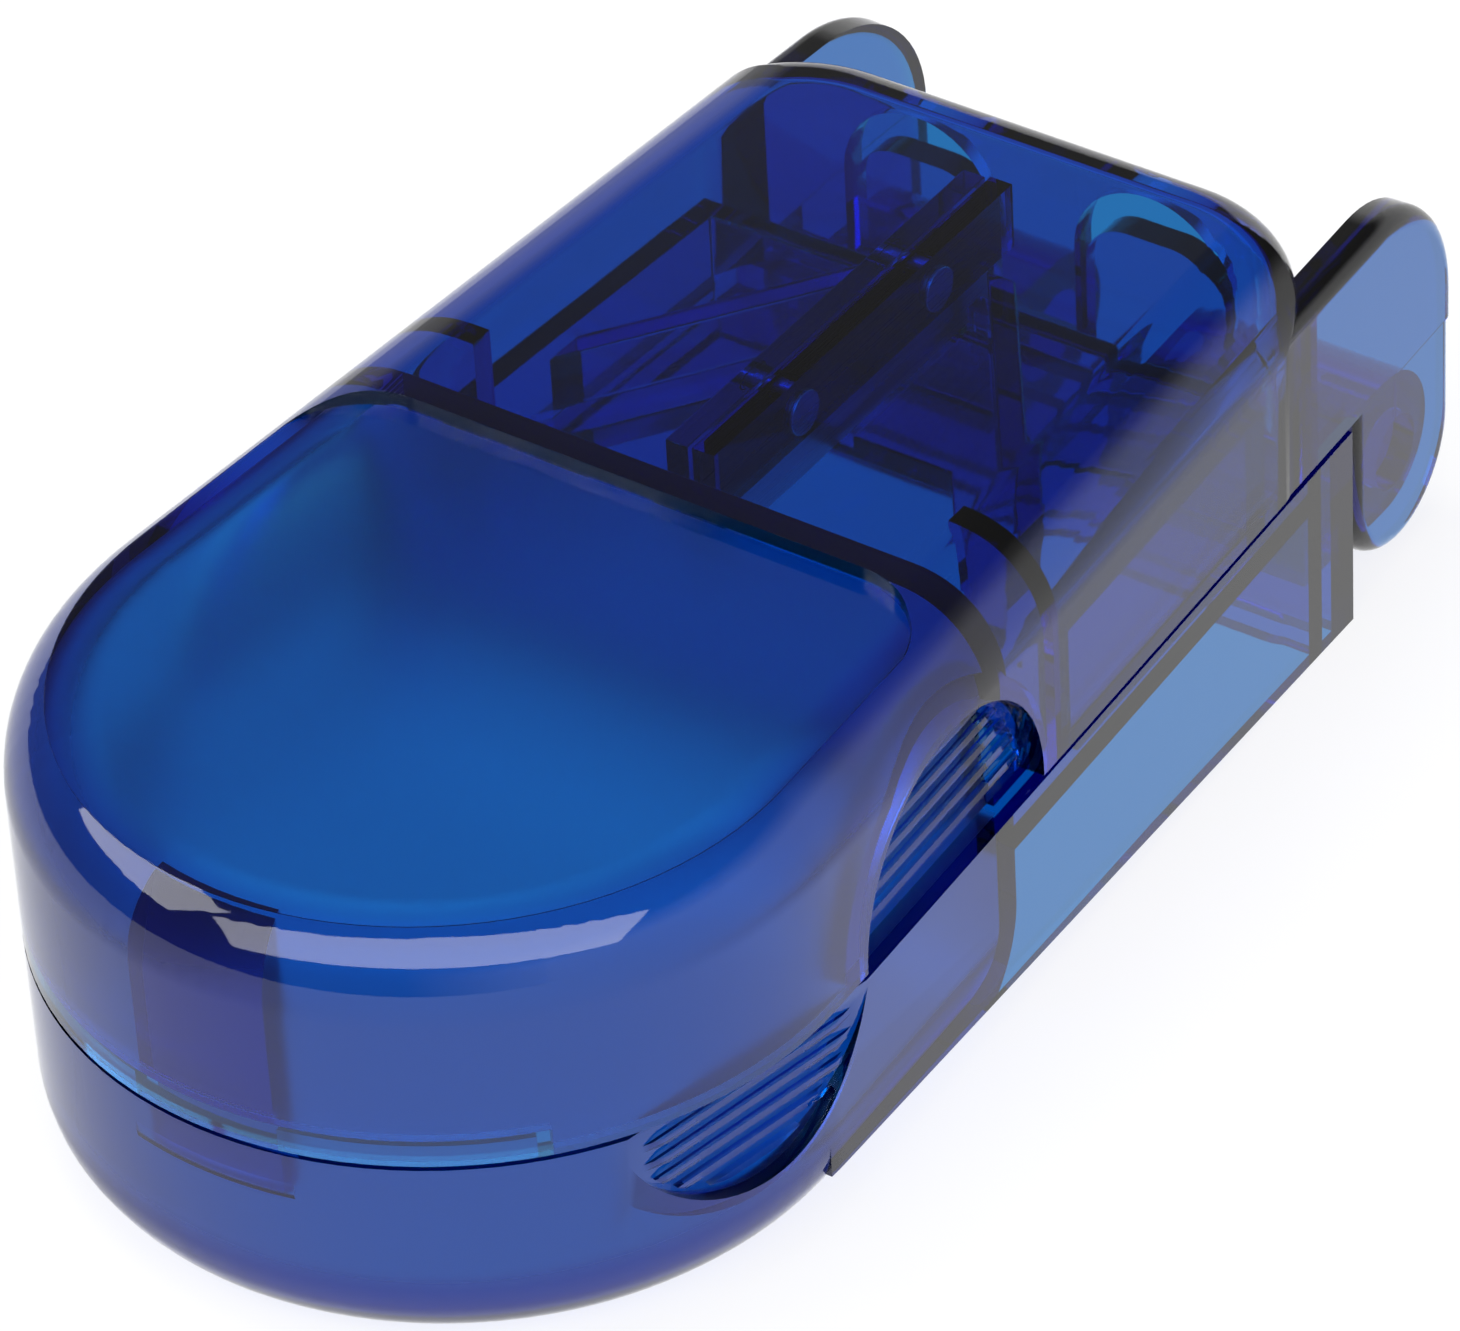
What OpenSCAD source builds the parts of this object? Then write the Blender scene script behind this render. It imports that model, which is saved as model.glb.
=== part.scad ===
/* [Body] */
// Width of the body at its widest, across the front compartment
body_w = 42; // [36:0.5:54]
// Length from the front tip to the rear face of the base
body_l = 73.5; // [64:0.5:92]
// Width of the body at the rear face of the base
rear_w = 36; // [32:0.5:40]
// Height of the base, up to the parting line
base_h = 12; // [10:0.5:15]
// Overall height with the lid closed
overall_h = 25.5; // [22:0.5:31]
// Wall thickness of both shells
wall = 1.6; // [1.3:0.1:2]
// Thickness of the top of the lid
top_t = 1.8; // [1.5:0.1:2.4]

/* [Rounding] */
// Radius along the top edge of the lid's front and sides
shoulder_r = 5; // [4:0.5:5]
// Radius along the rear top edge of the lid
rear_edge_r = 3; // [1.8:0.1:3.4]
// Radius of the lid's upright rear corners
corner_r = 8.5; // [7:0.5:10]
// Radius under the front of the base
bowl_r = 4.5; // [3.5:0.5:5]

/* [Hinge] */
// Distance of the hinge axis behind the base
hinge_back = 6; // [5.8:0.1:7]
// Height of the hinge axis
hinge_z = 6.4; // [6:0.1:7.5]
// Radius of the round lower end of each lid ear
lobe_r = 5.4; // [4.6:0.1:5.6]
// Thickness of the lid ears
ear_t = 2; // [1.7:0.1:2.6]
// Radius of the moulded pivot stub inside each ear
stub_r = 2.1; // [1.6:0.1:2.4]
// Length of that stub
stub_l = 4.5; // [3.5:0.5:6]
// Radial running clearance of the stub in the barrel
stub_fit = 0.08; // [0.03:0.01:0.1]
// Outer radius of the hinge barrel on the base
barrel_r = 4.2; // [3.6:0.1:4.4]

/* [Cutting] */
// Length of the blade
blade_l = 25; // [22:0.5:26]
// Height of the blade
blade_h = 7.2; // [6.5:0.1:7.8]
// Thickness of the blade
blade_t = 0.3; // [0.2:0.05:0.4]
// Height of the cutting edge with the lid closed
edge_z = 16; // [15.8:0.1:16.3]
// Angle of each arm of the tablet holder from the centre line
arm_angle = 35.5; // [32:0.5:38]

/* [Clearances] */
// Gap at the parting line between lid and base
part_gap = 0.25; // [0.2:0.05:0.4]
// Gap between moving pieces that pass each other
run_gap = 0.4; // [0.3:0.05:0.5]
// Gap around pieces that are fixed to each other
seat_gap = 0.05; // [0.02:0.01:0.1]

/* [Hidden] */
$fn = 96;
eps = 0.01;
poke = 0.05;
far = 200;
plastic = "royalblue";
steel = "silver";

// Plan of the body: a half circle in front, and straight sides that close in towards the rear
front_r = body_w / 2;
plan_d = sqrt(pow(rear_w / 2, 2) + pow(body_l - front_r, 2));
taper = atan2(body_l - front_r, rear_w / 2) - acos(front_r / plan_d);
hinge_y = body_l + hinge_back;

// Ears, measured in the frame of the side wall, where y runs along the wall
ear_inset = 0.1;
ear_step = 0.15;
ear_edge_r = 1;
ear_drop = 3.2;
ear_top = overall_h - ear_drop;
ear_arc_r = 8.2;
ear_arc_z = ear_top - ear_arc_r;
ear_mid = side_x(ear_inset + ear_t / 2, hinge_y);
ear_y = (hinge_y - front_r) * cos(taper) - ear_mid * sin(taper);
ear_back = ear_y + lobe_r;
ear_corner = front_r - ear_inset - ear_edge_r;
overall_l = front_r + ear_corner * sin(taper) + (ear_back - ear_edge_r) * cos(taper) + ear_edge_r;

// Base
floor_t = 1.6;
tub_y = 37.9;
tub_wall = 1.7;
tub_r = 6;
bowl_in_r = 3.5;
skirt_rise = 2.7;
deck_z = 10.5;
deck_t = 1.5;
brace_y = 69.5;
brace_t = 1.4;
lip_t = 0.7;
lip_h = 1;
lip_gap = 0.2;
lip_half = 46;
rim_t = wall - lip_t - lip_gap;
tab_in = 3.2;
tab_out = 10.8;
tab_top = 19.8;
tab_round = 2.5;

// Lid
lid_z = base_h + part_gap;
ceiling_z = overall_h - top_t;
arch_mid = (tab_in + tab_out) / 2;
arch_r = (tab_out - tab_in) / 2 + 0.7;
arch_top = 22.5;
cross_y = 37.6;
cross_t = 1.8;
guide_y = 43;
guide_t = 1.4;
guide_in = 14;
dish_inset = 2.3;
dish_rear = 37;
dish_corner = 5;
dish_depth = 0.85;

// Latch tongue on the front of the lid
tongue_w = 7.2;
tongue_t = 1.4;
tongue_gap = 0.3;
tongue_z = 8.3;
bead_h = 0.2;
bead_r = 0.5;
bead_clear = 0.25;
tongue_r = front_r - wall - tongue_gap;
tongue_half = asin(tongue_w / 2 / tongue_r);

// Thumb scoops
scoop_r = 8.4;
scoop_depth = 1.4;
scoop_tilt = 7;
lid_scoop_s = 11.3;
lid_scoop_z = 12.3;
base_scoop_turn = -11.5;
base_scoop_z = 14;
pad_t = 1.3;
pad_rim = 1.2;
rib_n = 5;
rib_pitch = 1.15;
rib_w = 0.4;
rib_h = 0.35;
rib_inset = 0.3;

// Tablet holder
holder_y0 = 46;
holder_y1 = 66;
holder_wall = 1.3;
holder_gap = 0.5;
holder_top = 17.8;
foot_h = 1.2;
plate_z = 16.4;
plate_t = 1.4;
arm_t = 1.4;
arm_top = 19.5;
arm_apex = 67.5;
window_y = 54.3;
window_ledge = 2.4;
slot_w = 1.2;

// Blade mounting
blade_y0 = 42.5;
rib_t = 1.3;
holder_rib_y0 = 41.5;
holder_rib_y1 = 68;
holder_rib_z = arm_top + run_gap;
rivet_r = 0.9;
rivet_head_r = 1.2;
rivet_head_t = 0.2;
rivet_z = 21.6;
rivet_ys = [49, 61];
bevel_h = 1.2;

// Half the width at y of a body that is inset all round
function side_x(inset, y) = (front_r - inset - (y - front_r) * sin(taper)) / cos(taper);

// Everything is drawn from the front tip and moved so that the origin is below the middle
module placed() {
    translate([0, -overall_l / 2, 0]) children();
}

// Frame of the right side wall: x points out of the wall, y runs along it
module side_frame() {
    translate([0, front_r, 0]) rotate([0, 0, taper]) children();
}

module both_sides() {
    children();
    mirror([1, 0, 0]) children();
}

module quarter(r) {
    intersection() {
        circle(r = r);
        square(2 * r);
    }
}

// Half section of a block, with its top outer edge rounded when r is above 0
module section(w, h, r = 0) {
    square([w, h - r]);
    if (r > 0) {
        translate([0, h - r]) square([w - r, r]);
        translate([w - r, h - r]) quarter(r);
    }
}

// A section swept along y
module sweep_y(length) {
    rotate([90, 0, 0]) mirror([0, 0, 1]) linear_extrude(length) children();
}

// The section carried round the front and along both sides, open towards the rear
module long_body(inset, top, r = 0) {
    w = front_r - inset;
    translate([0, front_r, 0]) rotate([0, 0, 180 - taper])
        rotate_extrude(angle = 180 + 2 * taper) section(w, top, r);
    both_sides() side_frame() sweep_y(far / 2) section(w, top, r);
}

// What lies in front of rear_y, inside two upright corners that meet the sides of a body
module rear_limit(inset, rear_y, r, top, edge = 0) {
    y = rear_y - r;
    w = front_r - inset + poke;
    s = (y - front_r - (w - r) * sin(taper)) / cos(taper);
    x = (w - r) * cos(taper) - s * sin(taper);
    translate([-far, -far, 0]) cube([2 * far, far + y, far]);
    both_sides() translate([x, y, 0]) rotate_extrude(angle = 90) section(r, top, edge);
    translate([-x, y, 0]) rotate([90, 0, 90]) linear_extrude(2 * x) section(r, top, edge);
}

module lid_block(inset, top) {
    intersection() {
        long_body(inset, top, shoulder_r - inset);
        rear_limit(inset, body_l - inset, corner_r - inset, top + poke, rear_edge_r - inset);
    }
}

// Body with the rounding along its bottom edge instead
module round_bottom(inset, bottom, r) {
    translate([0, 0, far]) mirror([0, 0, 1]) long_body(inset, far - bottom, r);
}

// The bottom edge is rounded, and the sides run straight down to an edge that rises to the front
module base_block() {
    intersection() {
        translate([-far, -far, 0]) cube([2 * far, far + body_l, base_h]);
        union() {
            round_bottom(0, 0, bowl_r);
            intersection() {
                long_body(0, base_h);
                along_x() polygon([
                    [front_r + poke, far],
                    [front_r + poke, skirt_rise],
                    [body_l, 0],
                    [far, 0],
                    [far, far],
                ]);
            }
        }
    }
}

// Side view of the front tub, in y and z
module tub_view(rear, bottom, r) {
    translate([-far, bottom]) square([far + rear - r, far]);
    translate([rear - r, bottom + r]) square([r, far]);
    translate([rear - r, bottom + r]) mirror([0, 1]) quarter(r);
}

module along_x() {
    rotate([90, 0, 90]) translate([0, 0, -far]) linear_extrude(2 * far) children();
}

module tub_hollow() {
    intersection() {
        round_bottom(wall, floor_t, bowl_in_r);
        along_x() tub_view(tub_y, floor_t - poke, tub_r - tub_wall);
        translate([-far, -far, 0]) cube([2 * far, 2 * far, base_h + wall]);
    }
}

module rear_hollow(y0, y1, z1) {
    intersection() {
        both_sides() side_frame() translate([0, 0, -far]) cube([front_r - wall, far, far + z1]);
        translate([-far, y0, -far]) cube([2 * far, y1 - y0, 2 * far + z1]);
    }
}

module under_hollow() {
    difference() {
        rear_hollow(tub_y + tub_wall - tub_r, brace_y, deck_z - deck_t);
        along_x() tub_view(tub_y + tub_wall, -poke, tub_r);
    }
}

module half_arch(r) {
    intersection() {
        circle(r = r);
        translate([-2 * r, 0]) square([4 * r, 2 * r]);
    }
}

module rear_tabs() {
    tab_w = tab_out - tab_in;
    both_sides() translate([tab_in, body_l, 0]) rotate([90, 0, 0]) linear_extrude(wall) {
        square([tab_w, tab_top - tab_round]);
        translate([tab_round, tab_top - tab_round]) square([tab_w - 2 * tab_round, tab_round]);
        translate([tab_w - tab_round, tab_top - tab_round]) quarter(tab_round);
        translate([tab_round, tab_top - tab_round]) mirror([1, 0]) quarter(tab_round);
    }
}

module x_cylinder(x0, x1, y, z, r) {
    translate([x0, y, z]) rotate([0, 90, 0]) cylinder(r = r, h = x1 - x0);
}

module hinge_knuckles() {
    x1 = side_x(ear_inset + ear_t, hinge_y + lobe_r) - run_gap;
    both_sides() {
        x_cylinder(tab_in, x1, hinge_y, hinge_z, barrel_r);
        translate([tab_in, body_l - wall / 2, hinge_z - barrel_r])
            cube([x1 - tab_in, hinge_back + wall / 2, 2 * barrel_r]);
    }
}

// A disc that cuts a scoop from a wall whose outer face is at x = front_r
module scoop_cut(tilt) {
    translate([front_r - scoop_depth, 0, 0]) rotate([0, 90 + tilt, 0]) cylinder(r = scoop_r, h = 20);
}

module scoop_pad() {
    translate([front_r - wall - pad_t, 0, 0]) rotate([0, 90, 0])
        cylinder(r = scoop_r + pad_rim, h = pad_t + wall / 2);
}

// Grip ribs on the floor of a scoop, going up (way = 1) or down (way = -1) from the parting line
module scoop_ribs(tilt, way, start) {
    intersection() {
        translate([front_r - scoop_depth - 1, 0, 0]) rotate([0, 90 + tilt, 0])
            cylinder(r = scoop_r - 0.3, h = 4);
        translate([front_r - scoop_depth, 0, 0]) rotate([0, tilt, 0])
            for (i = [0 : rib_n - 1])
                translate([-0.5, -scoop_r, way * (start + i * rib_pitch) - rib_w / 2])
                    cube([0.5 + rib_h, 2 * scoop_r, rib_w]);
    }
}

module base_scoop_place() {
    translate([0, front_r, base_scoop_z]) rotate([0, 0, base_scoop_turn]) children();
}

module lid_scoop_place() {
    side_frame() translate([0, lid_scoop_s, lid_scoop_z]) children();
}

// A section swept round the front, to half degrees each side of the middle
module front_sweep(half) {
    translate([0, front_r, 0]) rotate([0, 0, -90 - half]) rotate_extrude(angle = 2 * half) children();
}

// Raised lip inside the front rim, left out where the latch tongue passes
module base_lip() {
    gap_w = tongue_w + 2 * run_gap;
    difference() {
        front_sweep(lip_half) translate([front_r - wall, base_h - wall]) square([lip_t, wall + lip_h]);
        translate([-gap_w / 2, -far, 0]) cube([gap_w, far + front_r / 2, far]);
    }
}

// Room for that lip in the lower edge of the lid
module lip_rebate() {
    front_sweep(lip_half + 2) translate([tongue_r + tongue_gap / 2, lid_z - 1])
        square([wall + tongue_gap / 2 - rim_t, 1 + lip_h + lip_gap]);
}

module latch_bead(grow, half) {
    front_sweep(half) translate([tongue_r + bead_h - bead_r, tongue_z + bead_r + 0.3])
        circle(r = bead_r + grow);
}

module tongue() {
    joint_z = lid_z + lip_h + 0.3;
    front_sweep(tongue_half) polygon([
        [tongue_r - tongue_t, tongue_z],
        [tongue_r, tongue_z],
        [tongue_r, joint_z],
        [front_r, joint_z],
        [front_r, far],
        [tongue_r - tongue_t, far],
    ]);
    latch_bead(0, tongue_half - 2);
}

module base_shell() {
    color(plastic, 0.6) placed() difference() {
        union() {
            difference() {
                base_block();
                tub_hollow();
                under_hollow();
                rear_hollow(tub_y + tub_wall, brace_y, deck_z + far);
                rear_hollow(brace_y + brace_t, body_l - wall, far);
            }
            intersection() {
                rear_hollow(tub_y + eps, brace_y + eps, far);
                translate([-far, 0, deck_z - deck_t]) cube([2 * far, far, deck_t]);
            }
            base_lip();
            rear_tabs();
            hinge_knuckles();
            both_sides() intersection() {
                base_scoop_place() scoop_pad();
                translate([0, 0, floor_t]) cube([far, tub_y, base_h - floor_t]);
                round_bottom(wall / 2, 0, bowl_r);
            }
        }
        x_cylinder(-far, far, hinge_y, hinge_z, stub_r + stub_fit);
        both_sides() base_scoop_place() scoop_cut(0);
        latch_bead(bead_clear, tongue_half + 2);
    }
    color(plastic, 0.6) placed() intersection() {
        both_sides() base_scoop_place() scoop_ribs(0, -1, base_scoop_z - base_h + rib_pitch);
        long_body(rib_inset, base_h);
    }
}

module dish_cut() {
    intersection() {
        long_body(dish_inset, far);
        rear_limit(dish_inset, dish_rear, dish_corner, far);
        translate([-far, -far, overall_h - dish_depth]) cube([2 * far, 2 * far, far / 2]);
    }
}

module arches() {
    both_sides() translate([arch_mid, body_l + wall, 0]) rotate([90, 0, 0]) linear_extrude(3 * wall) {
        translate([-arch_r, 0]) square([2 * arch_r, arch_top - arch_r]);
        translate([0, arch_top - arch_r]) half_arch(arch_r);
    }
}

// Section of an ear out to its edge, with the outer edge rounded, under a face at w
module ear_section(reach, w) {
    inner = front_r - ear_inset - ear_t;
    translate([0, inner]) square([reach - ear_edge_r, w - inner]);
    translate([reach - ear_edge_r, inner]) square([ear_edge_r, w - ear_edge_r - inner]);
    translate([reach - ear_edge_r, w - ear_edge_r]) quarter(ear_edge_r);
}

// The section turned about a line that points out of the side wall
module ear_turn(y, z, reach, w, start, angle) {
    translate([0, y, z]) rotate([90, 0, 90]) rotate([0, 0, start])
        rotate_extrude(angle = angle) ear_section(reach, w);
}

// The section carried upwards, to the rear of y
module ear_rise(y, z0, z1, reach, w) {
    translate([0, y, z0]) linear_extrude(z1 - z0) rotate([0, 0, 90]) mirror([0, 1]) ear_section(reach, w);
}

// Upper part of an ear, a plate in line with the side wall with a round rear top corner
module ear_plate() {
    w = front_r - ear_inset;
    y = ear_back - ear_arc_r;
    translate([w - ear_t, 0, hinge_z]) sweep_y(y) section(ear_t, ear_top - hinge_z, ear_edge_r);
    ear_turn(y, ear_arc_z, ear_arc_r, w, 0, 90);
    ear_rise(y, hinge_z, ear_arc_z, ear_arc_r, w);
}

// Lower part of an ear, round the pivot and a little thinner
module ear_lobe() {
    w = front_r - ear_inset - ear_step;
    z = lid_z + ear_edge_r;
    ear_rise(ear_y, hinge_z, z, lobe_r, w);
    translate([0, 2 * ear_y, 0]) mirror([0, 1, 0]) ear_rise(ear_y, hinge_z, z, lobe_r, w);
    ear_turn(ear_y, hinge_z, lobe_r, w, 180, 180);
}

// The closed block of the lid with its ears, before it is hollowed
module lid_blank() {
    difference() {
        union() {
            lid_block(0, overall_h);
            both_sides() difference() {
                side_frame() ear_plate();
                translate([0, -far, 0]) cube([far, far + body_l - corner_r, far]);
            }
        }
        translate([-far, -far, -far]) cube([2 * far, 2 * far, far + lid_z]);
    }
    both_sides() side_frame() ear_lobe();
}

module blade_rib_blank(x0, z1) {
    translate([x0, holder_rib_y0, holder_rib_z])
        cube([rib_t, holder_rib_y1 - holder_rib_y0, z1 - holder_rib_z]);
}

module rivet_holes(r) {
    for (y = rivet_ys) x_cylinder(-5, 5, y, rivet_z, r);
}

module lid_interior() {
    intersection() {
        lid_block(wall / 2, overall_h - top_t / 2);
        union() {
            translate([-far, cross_y, lid_z]) cube([2 * far, cross_t, far]);
            both_sides() translate([guide_in, guide_y, lid_z]) cube([far, guide_t, far]);
            blade_rib_blank(blade_t / 2, overall_h);
            tongue();
            both_sides() intersection() {
                lid_scoop_place() scoop_pad();
                translate([0, 0, lid_z]) cube(far);
            }
        }
    }
}

module lid_shell() {
    color(plastic, 0.6) placed() {
        difference() {
            union() {
                difference() {
                    lid_blank();
                    lid_block(wall, ceiling_z);
                }
                lid_interior();
            }
            lip_rebate();
            arches();
            dish_cut();
            rivet_holes(rivet_r + seat_gap);
            both_sides() lid_scoop_place() scoop_cut(-scoop_tilt);
        }
        intersection() {
            both_sides() lid_scoop_place() scoop_ribs(-scoop_tilt, 1, rib_pitch);
            long_body(rib_inset, overall_h);
        }
        both_sides() x_cylinder(ear_mid - ear_t / 2 - stub_l, ear_mid, hinge_y, hinge_z, stub_r);
    }
}

// Plan of the holder's side and rear walls, out to the given inset from the body's side
module holder_plan(inset) {
    inner = wall + holder_gap + holder_wall;
    inner_y = holder_y1 - holder_wall;
    polygon([
        [-side_x(inset, holder_y0), holder_y0],
        [-side_x(inset, holder_y1), holder_y1],
        [side_x(inset, holder_y1), holder_y1],
        [side_x(inset, holder_y0), holder_y0],
        [side_x(inner, holder_y0), holder_y0],
        [side_x(inner, inner_y), inner_y],
        [-side_x(inner, inner_y), inner_y],
        [-side_x(inner, holder_y0), holder_y0],
    ]);
}

module tablet_holder() {
    color(plastic, 0.75) placed() difference() {
        union() {
            translate([0, 0, deck_z]) linear_extrude(foot_h) holder_plan(wall + seat_gap);
            translate([0, 0, deck_z + foot_h]) linear_extrude(holder_top - deck_z - foot_h)
                holder_plan(wall + holder_gap);
            intersection() {
                translate([-far, holder_y0, 0]) cube([2 * far, holder_y1 - holder_y0, far]);
                union() {
                    intersection() {
                        both_sides() translate([0, arm_apex, plate_z - plate_t])
                            rotate([0, 0, -90 + arm_angle]) cube([60, arm_t, arm_top - plate_z + plate_t]);
                        translate([run_gap - guide_in, -far, 0]) cube([2 * (guide_in - run_gap), 2 * far, far]);
                    }
                    difference() {
                        linear_extrude(plate_z) polygon([
                            [0, arm_apex],
                            [60 * sin(arm_angle), arm_apex - 60 * cos(arm_angle)],
                            [-60 * sin(arm_angle), arm_apex - 60 * cos(arm_angle)],
                        ]);
                        cube([2 * far, 4 * far, 2 * (plate_z - plate_t)], center = true);
                        window_cut();
                    }
                }
            }
        }
        translate([-slot_w / 2, holder_y0 + 4, edge_z - run_gap]) cube([slot_w, far, far]);
    }
}

// Opening in the plate, between ledges that follow the arms
module window_cut() {
    apex = arm_apex - window_ledge / sin(arm_angle);
    reach = 60;
    intersection() {
        linear_extrude(far) polygon([
            [0, apex],
            [reach * sin(arm_angle), apex - reach * cos(arm_angle)],
            [-reach * sin(arm_angle), apex - reach * cos(arm_angle)],
        ]);
        translate([-far, -far, 0]) cube([2 * far, far + window_y, far]);
    }
}

module blade() {
    color(steel) placed() difference() {
        translate([0, blade_y0, edge_z]) sweep_y(blade_l) polygon([
            [0, 0],
            [blade_t / 2, bevel_h],
            [blade_t / 2, blade_h],
            [-blade_t / 2, blade_h],
            [-blade_t / 2, bevel_h],
        ]);
        rivet_holes(rivet_r + seat_gap);
    }
}

module blade_clamp() {
    color(plastic, 0.75) placed() difference() {
        blade_rib_blank(-blade_t / 2 - rib_t, ceiling_z - 0.1);
        rivet_holes(rivet_r + seat_gap);
    }
}

module blade_rivets() {
    outer = blade_t / 2 + rib_t;
    color(steel) placed() for (y = rivet_ys) {
        x_cylinder(-outer - eps, outer + eps, y, rivet_z, rivet_r);
        x_cylinder(outer, outer + rivet_head_t, y, rivet_z, rivet_head_r);
        x_cylinder(-outer - rivet_head_t, -outer, y, rivet_z, rivet_head_r);
    }
}

base_shell();
tablet_holder();
lid_shell();
blade();
blade_clamp();
blade_rivets();
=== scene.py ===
"""Hinged tablet cutter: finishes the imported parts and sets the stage."""

import math

import bmesh
import bpy
from bpy.props import FloatProperty, FloatVectorProperty, PointerProperty
from mathutils import Matrix, Vector


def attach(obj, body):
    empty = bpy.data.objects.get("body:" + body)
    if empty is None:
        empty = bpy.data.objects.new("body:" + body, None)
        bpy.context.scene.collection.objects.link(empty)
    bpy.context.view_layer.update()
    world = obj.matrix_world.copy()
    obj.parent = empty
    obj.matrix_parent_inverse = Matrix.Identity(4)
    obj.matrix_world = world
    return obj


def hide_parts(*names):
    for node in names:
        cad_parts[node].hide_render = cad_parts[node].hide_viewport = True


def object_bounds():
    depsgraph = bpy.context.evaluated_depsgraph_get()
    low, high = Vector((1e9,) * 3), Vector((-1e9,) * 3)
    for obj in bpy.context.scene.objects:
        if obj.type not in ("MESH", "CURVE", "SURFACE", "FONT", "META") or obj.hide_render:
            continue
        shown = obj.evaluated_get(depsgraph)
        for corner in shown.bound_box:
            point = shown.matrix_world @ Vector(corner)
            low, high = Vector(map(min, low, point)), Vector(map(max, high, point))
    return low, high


bl_info = {
    "name": "Hinged tablet cutter",
    "version": (1, 0, 0),
    "blender": (4, 5, 0),
    "location": "View3D > Sidebar > Cutter",
    "description": "Finishes a clear plastic tablet cutter and lights it on a pale floor",
    "category": "Object",
}

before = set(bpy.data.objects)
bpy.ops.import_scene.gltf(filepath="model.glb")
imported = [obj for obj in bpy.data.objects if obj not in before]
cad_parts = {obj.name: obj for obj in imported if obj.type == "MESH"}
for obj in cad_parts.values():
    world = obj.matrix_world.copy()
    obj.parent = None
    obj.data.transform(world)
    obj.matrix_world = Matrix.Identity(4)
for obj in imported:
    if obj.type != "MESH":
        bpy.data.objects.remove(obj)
CAD_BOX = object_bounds()
MM = 0.001

WHITE = (1.0, 1.0, 1.0)
# What a face of the plastic lets through, besides the absorption in its thickness: of what
# is seen through it, and of the lamps' light
CLEAR = (0.97, 0.985, 1.0)
SHADOW_TINT = (0.92, 0.94, 0.97)
# Brightness of the darkest smears against the clean steel
SMEAR_SHADE = 0.78
# Painted shade: the flat grey that the floor glows with where it is seen through the plastic,
# standing in for the case's shadow on it
PAINTED_SHADE_UNDER_CASE = (0.67, 0.67, 0.67)

# The front compartment: a rounded block midway through the walls of its shells
WELL_RADIUS = 20.25 * MM
WELL_ROUNDING = 4.1 * MM
WELL_TOP = 24.2 * MM
WELL_BOTTOM = 0.8 * MM
WELL_TAPER = 0.058
WELL_CENTRE_Y = CAD_BOX[0][1] + 21.0 * MM
WELL_REAR_Y = CAD_BOX[0][1] + 38.5 * MM


class Value:
    """A number socket that maths operators work on, so a formula adds its own Math nodes."""

    def __init__(self, nodes, socket):
        self.nodes = nodes
        self.socket = socket

    def _math(self, operation, a, b):
        return self.nodes.add("ShaderNodeMath", {"operation": operation}, {0: a, 1: b})

    def __add__(self, other):
        return self._math("ADD", self, other)

    def __radd__(self, other):
        return self._math("ADD", other, self)

    def __sub__(self, other):
        return self._math("SUBTRACT", self, other)

    def __rsub__(self, other):
        return self._math("SUBTRACT", other, self)

    def __mul__(self, other):
        return self._math("MULTIPLY", self, other)

    def __rmul__(self, other):
        return self._math("MULTIPLY", other, self)

    def __lt__(self, other):
        return self._math("LESS_THAN", self, other)

    def __pow__(self, other):
        return self._math("POWER", self, other)

    def least(self, other):
        """The smaller of the two numbers."""
        return self._math("MINIMUM", self, other)

    def most(self, other):
        """The larger of the two numbers."""
        return self._math("MAXIMUM", self, other)


class Nodes:
    """The node tree of a material or of the world."""

    def __init__(self, owner):
        self.owner = owner
        owner.use_nodes = True
        self.tree = owner.node_tree
        self.tree.nodes.clear()

    def add(self, kind, settings=None, inputs=None, output=0):
        """Adds a node, makes its settings, then fills its sockets with values or links."""
        node = self.tree.nodes.new(kind)
        for key, value in (settings or {}).items():
            setattr(node, key, value)
        for key, value in (inputs or {}).items():
            self.fill(node.inputs[key], value)
        return Value(self, node.outputs[output])

    def fill(self, socket, value):
        """Links a socket to a value, or writes a plain number, colour or vector on it."""
        if isinstance(value, Value):
            self.tree.links.new(value.socket, socket)
        else:
            socket.default_value = value

    def finish(self, surface, volume=None):
        """Links the output, and gives back the material or the world."""
        kind = "World" if isinstance(self.owner, bpy.types.World) else "Material"
        out = self.tree.nodes.new("ShaderNodeOutput" + kind)
        self.fill(out.inputs["Surface"], surface)
        if volume is not None:
            self.fill(out.inputs["Volume"], volume)
        return self.owner

    def place(self, scale, stretch):
        """Object coordinates in units of scale metres, stretched along the axes."""
        coordinates = self.add("ShaderNodeTexCoord", output="Object")
        size = [s / scale for s in stretch]
        return self.add("ShaderNodeMapping", {}, {"Vector": coordinates, "Scale": size})

    def axes(self, coordinates):
        """The x, y and z of a vector."""
        split = self.add("ShaderNodeSeparateXYZ", {}, {"Vector": coordinates})
        return [Value(self, socket) for socket in split.socket.node.outputs]

    def ray(self, kind):
        """1 for a ray of that kind, by its name on the Light Path node, and 0 for others."""
        return self.add("ShaderNodeLightPath", {}, {}, output=kind)

    def blend(self, factor, first, second):
        """The first colour where the factor is 0 and the second where it is 1."""
        colours = {0: factor, 6: (*first, 1.0), 7: (*second, 1.0)}
        return self.add("ShaderNodeMix", {"data_type": "RGBA"}, colours, output=2)

    def fade(self, value, limits, results):
        """Goes from the first result to the second as the value goes between the limits."""
        inputs = {0: value, 1: limits[0], 2: limits[1], 3: results[0], 4: results[1]}
        return self.add("ShaderNodeMapRange", {}, inputs)

    def noise(self, scale, detail, stretch=(1.0, 1.0, 1.0)):
        """Noise from 0 to 1 whose features are about scale metres across."""
        inputs = {"Vector": self.place(scale, stretch), "Scale": 1.0, "Detail": detail}
        return self.add("ShaderNodeTexNoise", {}, inputs)


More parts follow.
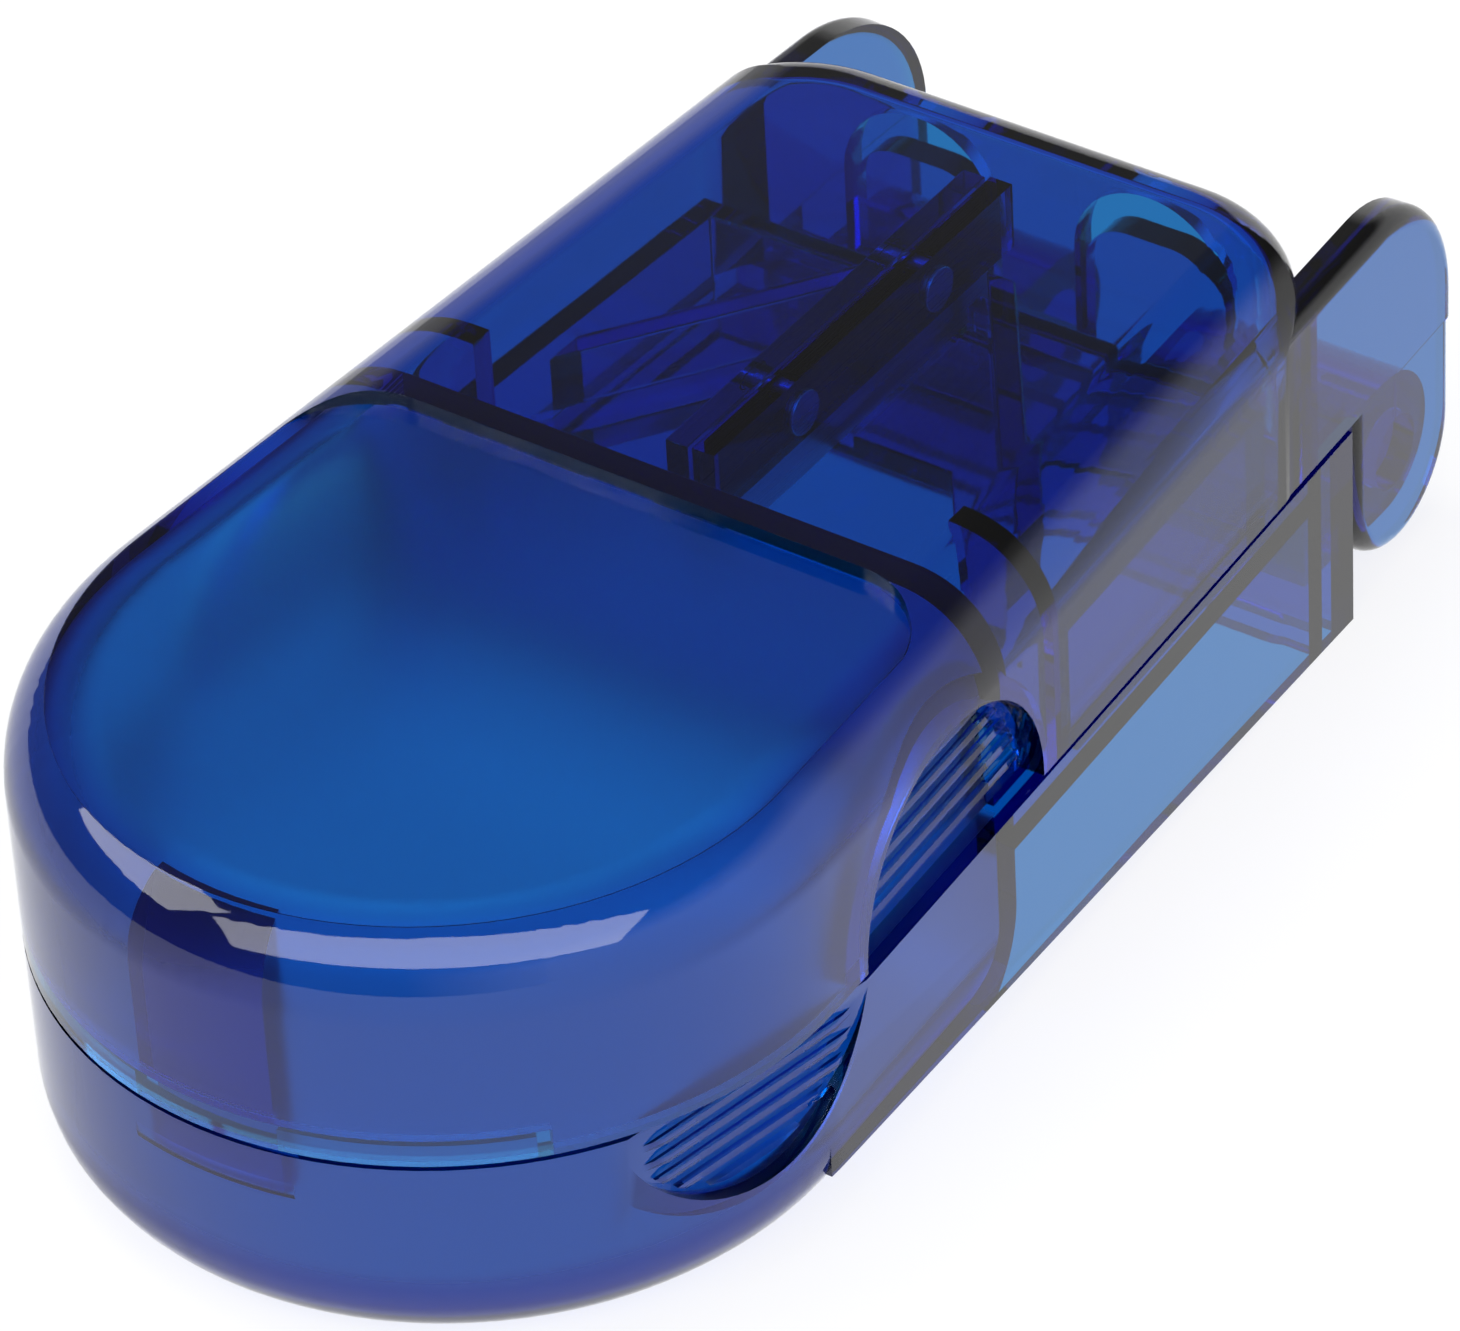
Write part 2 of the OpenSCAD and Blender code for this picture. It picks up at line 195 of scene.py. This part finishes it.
class PlasticSettings(bpy.types.PropertyGroup):
    """Colour, polish and edges of the clear plastic"""

    tint: FloatVectorProperty(
        name="Tint",
        description="Colour that the plastic lets through",
        subtype="COLOR",
        size=3,
        min=0.0,
        max=1.0,
        default=(0.0, 0.705, 0.926),
    )
    density: FloatProperty(
        name="Density",
        description="How strongly a metre of the plastic absorbs the other colours",
        default=2200.0,
        min=0.0,
        max=3000.0,
    )
    ior: FloatProperty(
        name="Index of refraction",
        description="Index of refraction of clear polystyrene",
        default=1.55,
        min=1.3,
        max=1.7,
    )
    roughness: FloatProperty(
        name="Polish",
        description="Roughness of a polished face",
        default=0.02,
        min=0.0,
        max=0.5,
    )
    handling: FloatProperty(
        name="Handling",
        description="Added roughness where smears and dust meet",
        default=0.05,
        min=0.0,
        max=0.3,
    )
    waves: FloatProperty(
        name="Waves",
        description="Height of the faint waves that moulding leaves",
        default=0.05 * MM,
        min=0.0,
        unit="LENGTH",
    )
    etching: FloatProperty(
        name="Etching",
        description="Added roughness of the fine texture inside the front compartment",
        default=0.3,
        min=0.0,
        max=0.8,
    )
    edge: FloatProperty(
        name="Edge rounding",
        description="Radius that the mould leaves on sharp edges",
        default=0.12 * MM,
        min=0.0,
        max=0.5 * MM,
        unit="LENGTH",
    )


class SteelSettings(bpy.types.PropertyGroup):
    """Colour and grinding of the blade and the rivets"""

    colour: FloatVectorProperty(
        name="Steel",
        description="Colour of the blade and the rivets",
        subtype="COLOR",
        size=3,
        min=0.0,
        max=1.0,
        default=(0.62, 0.64, 0.67),
    )
    roughness: FloatProperty(
        name="Polish",
        description="Roughness between the grinding lines",
        default=0.2,
        min=0.0,
        max=1.0,
    )
    line_roughness: FloatProperty(
        name="Line roughness",
        description="Added roughness on the grinding lines",
        default=0.2,
        min=0.0,
        max=1.0,
    )
    grain: FloatProperty(
        name="Grinding",
        description="Depth of the grinding lines",
        default=0.15,
        min=0.0,
        max=1.0,
    )


class StageSettings(bpy.types.PropertyGroup):
    """Camera and floor"""

    azimuth: FloatProperty(
        name="Azimuth",
        description="Direction that the camera looks from, round the case from its front",
        default=math.radians(36.524),
        subtype="ANGLE",
    )
    elevation: FloatProperty(
        name="Elevation",
        description="Height of the camera above the case",
        default=math.radians(38.04),
        subtype="ANGLE",
    )
    roll: FloatProperty(
        name="Roll",
        description="Turn of the camera about its own axis",
        default=math.radians(-3.443),
        subtype="ANGLE",
    )
    distance: FloatProperty(
        name="Distance",
        description="Distance of the camera from what it looks at",
        default=434.744 * MM,
        unit="LENGTH",
    )
    target: FloatVectorProperty(
        name="Target",
        description="Point that the camera looks at",
        default=(1.725 * MM, -1.04 * MM, 12.0 * MM),
        size=3,
        subtype="TRANSLATION",
        unit="LENGTH",
    )
    lens: FloatProperty(
        name="Lens",
        description="Focal length in millimetres",
        default=217.843,
        min=10.0,
        unit="CAMERA",
    )
    floor: FloatVectorProperty(
        name="Floor",
        description="Colour of the floor",
        subtype="COLOR",
        size=3,
        min=0.0,
        max=1.0,
        default=(0.95, 0.95, 0.95),
    )


def inside_well(n):
    """1 on the inner faces of the front compartment, 0 on its outer faces and behind it.

    The faces are told apart by a rounded block that runs midway through the walls.
    """
    x, y, z = n.axes(n.add("ShaderNodeTexCoord", output="Object"))
    ahead = y - WELL_CENTRE_Y
    narrowing = ahead.most(0.0) * WELL_TAPER
    front = ahead.least(0.0)
    reach = (x * x + front * front) ** 0.5 + narrowing
    outward = (reach - (WELL_RADIUS - WELL_ROUNDING)).most(0.0)
    upward = (z - (WELL_TOP - WELL_ROUNDING)).most(WELL_BOTTOM + WELL_ROUNDING - z)
    upward = upward.most(0.0)
    distance = (outward * outward + upward * upward) ** 0.5
    return (distance < WELL_ROUNDING) * (y < WELL_REAR_Y)


def clear_plastic():
    """Transparent tinted plastic, polished, with the faint waves that moulding leaves."""
    found = bpy.data.materials.get("clear_tinted_plastic")
    if found:
        return found
    group = bpy.context.scene.cutter_plastic
    n = Nodes(bpy.data.materials.new("clear_tinted_plastic"))
    smear = n.noise(6 * MM, 3.0)
    dust = n.noise(0.5 * MM, 2.0)
    handling = group.handling * (smear * dust)
    roughness = group.roughness + handling + group.etching * inside_well(n)
    waves = n.noise(5 * MM, 1.0)
    bump = n.add(
        "ShaderNodeBump",
        {},
        {"Strength": 0.12, "Distance": group.waves, "Height": waves},
    )
    shader = n.add(
        "ShaderNodeBsdfPrincipled",
        {},
        {
            "Base Color": (*CLEAR, 1.0),
            "Roughness": roughness,
            "IOR": group.ior,
            "Transmission Weight": 1.0,
            "Normal": bump,
        },
    )
    through = n.add("ShaderNodeBsdfTransparent", {}, {"Color": (*SHADOW_TINT, 1.0)})
    surface = n.add(
        "ShaderNodeMixShader", {}, {0: n.ray("Is Shadow Ray"), 1: shader, 2: through}
    )
    volume = n.add(
        "ShaderNodeVolumeAbsorption",
        {},
        {"Color": (*group.tint, 1.0), "Density": group.density},
    )
    return n.finish(surface, volume)


def ground_steel():
    """Stainless strip with fine grinding lines along its length and a few darker smears."""
    found = bpy.data.materials.get("ground_steel")
    if found:
        return found
    group = bpy.context.scene.cutter_steel
    n = Nodes(bpy.data.materials.new("ground_steel"))
    lines = n.noise(0.4 * MM, 3.0, (1.0, 0.03, 6.0))
    smears = n.noise(4 * MM, 2.0)
    darker = [SMEAR_SHADE * c for c in group.colour]
    base = n.blend(smears * 0.6 + lines * 0.4, darker, group.colour)
    bump = n.add(
        "ShaderNodeBump",
        {},
        {"Strength": group.grain, "Distance": 0.02 * MM, "Height": lines},
    )
    surface = n.add(
        "ShaderNodeBsdfPrincipled",
        {},
        {
            "Base Color": base,
            "Metallic": 1.0,
            "Roughness": group.roughness + group.line_roughness * lines,
            "Normal": bump,
        },
    )
    return n.finish(surface)


# Vertices closer than this are one
MERGE_DISTANCE = 0.001 * MM
# Faces that turn less than this are one flat face
FLAT_ANGLE = math.radians(0.2)
# Edges that turn more than this shade as a crease
CREASE_ANGLE = math.radians(28)
# Edges that turn more than this are rounded
ROUNDED_ANGLE = math.radians(40)
# Share of the edge rounding that the small heads of the rivets have room for
RIVET_ROUNDING = 0.4


def remove_membranes(bm):
    """Deletes faces inside the walls.

    Such a face hangs from an edge where the two faces of the wall's skin already meet, or
    from an edge that has no other face. The skin is the pair that turns least at the edge.
    """
    while True:
        stray = set()
        for e in bm.edges:
            faces = list(e.link_faces)
            if len(faces) == 1:
                stray.add(faces[0])
            elif len(faces) == 3:
                pairs = [(a, b) for a in faces for b in faces if a.index < b.index]
                a, b = max(pairs, key=lambda pair: pair[0].normal.dot(pair[1].normal))
                stray.update(f for f in faces if f not in (a, b))
        if not stray:
            return
        bmesh.ops.delete(bm, geom=list(stray), context="FACES")
        bm.faces.index_update()


def finished_copy(node, name, material, edge):
    """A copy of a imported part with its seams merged, its curves smooth and its edges rounded."""
    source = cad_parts[node]
    mesh = source.data.copy()
    mesh.name = name
    bm = bmesh.new()
    bm.from_mesh(mesh)
    bmesh.ops.remove_doubles(bm, verts=bm.verts, dist=MERGE_DISTANCE)
    remove_membranes(bm)
    bmesh.ops.dissolve_limit(bm, angle_limit=FLAT_ANGLE, verts=bm.verts, edges=bm.edges)
    for face in bm.faces:
        face.smooth = True
    for e in bm.edges:
        e.smooth = len(e.link_faces) == 2 and e.calc_face_angle(0.0) < CREASE_ANGLE
    for layer in list(bm.loops.layers.uv):
        bm.loops.layers.uv.remove(layer)
    bm.to_mesh(mesh)
    bm.free()
    mesh.materials.clear()
    mesh.materials.append(material)
    piece = bpy.data.objects.new(name, mesh)
    bpy.context.scene.collection.objects.link(piece)
    if edge > 0:
        bevel = piece.modifiers.new("edge rounding", "BEVEL")
        bevel.width = edge
        bevel.segments = 2
        bevel.limit_method = "ANGLE"
        bevel.angle_limit = ROUNDED_ANGLE
        bevel.harden_normals = True
        bevel.use_clamp_overlap = True
    level = piece.modifiers.new("flat faces", "WEIGHTED_NORMAL")
    level.mode = "FACE_AREA"
    level.keep_sharp = True
    return piece


class CUTTER_OT_base(bpy.types.Operator):
    """Finish the base shell"""

    bl_idname = "cutter.base"
    bl_label = "Base shell"

    def execute(self, context):
        edge = context.scene.cutter_plastic.edge
        piece = finished_copy("base_shell", "base_case", clear_plastic(), edge)
        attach(piece, "base")
        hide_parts("base_shell")
        return {"FINISHED"}


class CUTTER_OT_rest(bpy.types.Operator):
    """Finish the V-shaped tablet rest"""

    bl_idname = "cutter.rest"
    bl_label = "Tablet rest"

    def execute(self, context):
        edge = context.scene.cutter_plastic.edge
        piece = finished_copy("tablet_holder", "tablet_rest", clear_plastic(), edge)
        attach(piece, "base")
        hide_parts("tablet_holder")
        return {"FINISHED"}


class CUTTER_OT_lid(bpy.types.Operator):
    """Finish the lid shell"""

    bl_idname = "cutter.lid"
    bl_label = "Lid shell"

    def execute(self, context):
        edge = context.scene.cutter_plastic.edge
        piece = finished_copy("lid_shell", "lid_case", clear_plastic(), edge)
        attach(piece, "lid")
        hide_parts("lid_shell")
        return {"FINISHED"}


class CUTTER_OT_blade(bpy.types.Operator):
    """Finish the blade, its clamp and its rivets"""

    bl_idname = "cutter.blade"
    bl_label = "Blade and clamp"

    def execute(self, context):
        edge = context.scene.cutter_plastic.edge
        clamp = finished_copy("blade_clamp", "clamp_bar", clear_plastic(), edge)
        blade = finished_copy("blade", "cutting_blade", ground_steel(), 0.0)
        rivet_edge = RIVET_ROUNDING * edge
        rivets = finished_copy("blade_rivets", "rivet_pair", ground_steel(), rivet_edge)
        pairs = ((clamp, "blade_clamp"), (blade, "blade"), (rivets, "blade_rivets"))
        for piece, node in pairs:
            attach(piece, "lid")
            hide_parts(node)
        return {"FINISHED"}


# How far the floor shows as plain white, rather than as lit, to the eye and in gloss
FLOOR_WHITENESS = 0.8
GLOSS_WHITENESS = 0.95
# Brightness of the floor's faint mottling against the rest of it
MOTTLING = 0.98
# Distance in metres from the middle of the floor to its edges
FLOOR_REACH = 3.0

# Light of the room away from the pale wall, where 1 is white
ROOM_LIGHT = 0.14
# Heights of a direction, 0 level and 1 overhead, between which the wall fades away
WALL_FADE = (0.35, 0.6)
# How far a direction leans back and to the right, where the wall starts and is fully pale
WALL_SIDE = (-0.35, 0.25)

# Name, place, size in metres and power in watts
SOFTBOXES = (
    ("softbox_front", (0.42, -0.78, 0.88), (2.4, 0.66), 20.0),
    ("softbox_left", (-1.05, -0.62, 0.95), (1.0, 0.6), 8.0),
    ("softbox_top", (-0.2, 0.0, 1.1), (0.6, 0.6), 5.0),
)

# Faces of the case that a ray may pass through or bounce from, two for each wall
FACE_CROSSINGS = 16


def pale_surface(name, colour):
    """White for the eye and for gloss, still dimmed a little by the case's real shadow; through
    the glass it glows a flat grey, painted shade for the case's shadow.
    """
    n = Nodes(bpy.data.materials.new(name))
    mottling = n.noise(30 * MM, 4.0)
    base = n.blend(mottling, [MOTTLING * c for c in colour], colour)
    matt = n.add("ShaderNodeBsdfDiffuse", {}, {"Color": base})
    through_ray = n.ray("Is Transmission Ray")
    # Painted shade: rays through the plastic see the floor glow grey in place of the case's shadow
    shade = n.blend(through_ray, WHITE, PAINTED_SHADE_UNDER_CASE)
    light = n.add("ShaderNodeEmission", {}, {"Color": shade, "Strength": 1.0})
    direct = n.ray("Is Camera Ray") * FLOOR_WHITENESS
    seen = direct + n.ray("Is Glossy Ray") * GLOSS_WHITENESS + through_ray
    surface = n.add("ShaderNodeMixShader", {}, {0: seen, 1: matt, 2: light})
    return n.finish(surface)


def studio_world():
    """A pale wall low down behind the case and to its right, and a dim room elsewhere."""
    n = Nodes(bpy.data.worlds.new("studio"))
    x, y, z = n.axes(n.add("ShaderNodeTexCoord", output="Generated"))
    low = n.fade(z, WALL_FADE, (1.0, 0.0))
    side = n.fade(x * 0.7 + y * 0.7, WALL_SIDE, (0.0, 1.0))
    wall = ROOM_LIGHT + (1.0 - ROOM_LIGHT) * (low * side)
    strength = wall + n.ray("Is Camera Ray") * (1.0 - wall)
    light = n.add("ShaderNodeBackground", {}, {"Color": (*WHITE, 1.0), "Strength": strength})
    return n.finish(light)


def area_light(name, place, size, power):
    """A softbox that is aimed at the middle of the case."""
    lamp = bpy.data.lights.new(name, "AREA")
    lamp.shape = "RECTANGLE"
    lamp.size, lamp.size_y = size
    lamp.energy = power
    holder = bpy.data.objects.new(name, lamp)
    holder.location = place
    holder.rotation_euler = (-Vector(place)).to_track_quat("-Z", "Y").to_euler()
    bpy.context.scene.collection.objects.link(holder)


def aimed_camera(group):
    """A camera that looks at the target from the azimuth and elevation of the stage."""
    across = math.cos(group.elevation)
    back = Vector(
        (
            math.sin(group.azimuth) * across,
            -math.cos(group.azimuth) * across,
            math.sin(group.elevation),
        )
    )
    right = (-back).cross(Vector((0, 0, 1))).normalized()
    up = right.cross(-back)
    turned_right = right * math.cos(group.roll) + up * math.sin(group.roll)
    turned_up = -right * math.sin(group.roll) + up * math.cos(group.roll)
    axes = Matrix((turned_right, turned_up, back)).transposed()
    lens = bpy.data.cameras.new("camera")
    lens.lens = group.lens
    lens.sensor_width = 36.0
    lens.sensor_fit = "HORIZONTAL"
    lens.clip_start = 10 * MM
    camera = bpy.data.objects.new("camera", lens)
    place = Vector(group.target) + back * group.distance
    camera.matrix_world = Matrix.Translation(place) @ axes.to_4x4()
    return camera


class CUTTER_OT_stage(bpy.types.Operator):
    """Set the floor, the lights and the camera"""

    bl_idname = "cutter.stage"
    bl_label = "Stage"

    def execute(self, context):
        scene = context.scene
        group = scene.cutter_stage
        bm = bmesh.new()
        bmesh.ops.create_grid(bm, x_segments=2, y_segments=2, size=FLOOR_REACH)
        mesh = bpy.data.meshes.new("floor")
        bm.to_mesh(mesh)
        bm.free()
        mesh.materials.append(pale_surface("pale_floor", group.floor))
        floor = bpy.data.objects.new("floor", mesh)
        scene.collection.objects.link(floor)

        scene.world = studio_world()
        for softbox in SOFTBOXES:
            area_light(*softbox)

        camera = aimed_camera(group)
        scene.collection.objects.link(camera)
        scene.camera = camera

        scene.view_settings.view_transform = "Standard"
        scene.cycles.max_bounces = FACE_CROSSINGS
        scene.cycles.transmission_bounces = FACE_CROSSINGS
        scene.cycles.transparent_max_bounces = 2 * FACE_CROSSINGS
        return {"FINISHED"}


OPERATORS = (
    CUTTER_OT_base,
    CUTTER_OT_rest,
    CUTTER_OT_lid,
    CUTTER_OT_blade,
    CUTTER_OT_stage,
)


class CUTTER_PT_panel(bpy.types.Panel):
    """Sizes, colours and pieces of the tablet cutter"""

    bl_idname = "CUTTER_PT_panel"
    bl_label = "Tablet cutter"
    bl_space_type = "VIEW_3D"
    bl_region_type = "UI"
    bl_category = "Cutter"

    def draw(self, context):
        column = self.layout.column()
        for name in ("cutter_plastic", "cutter_steel", "cutter_stage"):
            group = getattr(context.scene, name)
            for key in type(group).__annotations__:
                column.prop(group, key)
        for operator in OPERATORS:
            column.operator(operator.bl_idname)


CLASSES = (PlasticSettings, SteelSettings, StageSettings, *OPERATORS, CUTTER_PT_panel)


def register():
    for cls in CLASSES:
        bpy.utils.register_class(cls)
    bpy.types.Scene.cutter_plastic = PointerProperty(type=PlasticSettings)
    bpy.types.Scene.cutter_steel = PointerProperty(type=SteelSettings)
    bpy.types.Scene.cutter_stage = PointerProperty(type=StageSettings)


def unregister():
    for name in ("cutter_plastic", "cutter_steel", "cutter_stage"):
        delattr(bpy.types.Scene, name)
    for cls in reversed(CLASSES):
        bpy.utils.unregister_class(cls)


def main():
    register()
    bpy.ops.cutter.base()
    bpy.ops.cutter.rest()
    bpy.ops.cutter.lid()
    bpy.ops.cutter.blade()
    bpy.ops.cutter.stage()


if __name__ == "__main__":
    main()
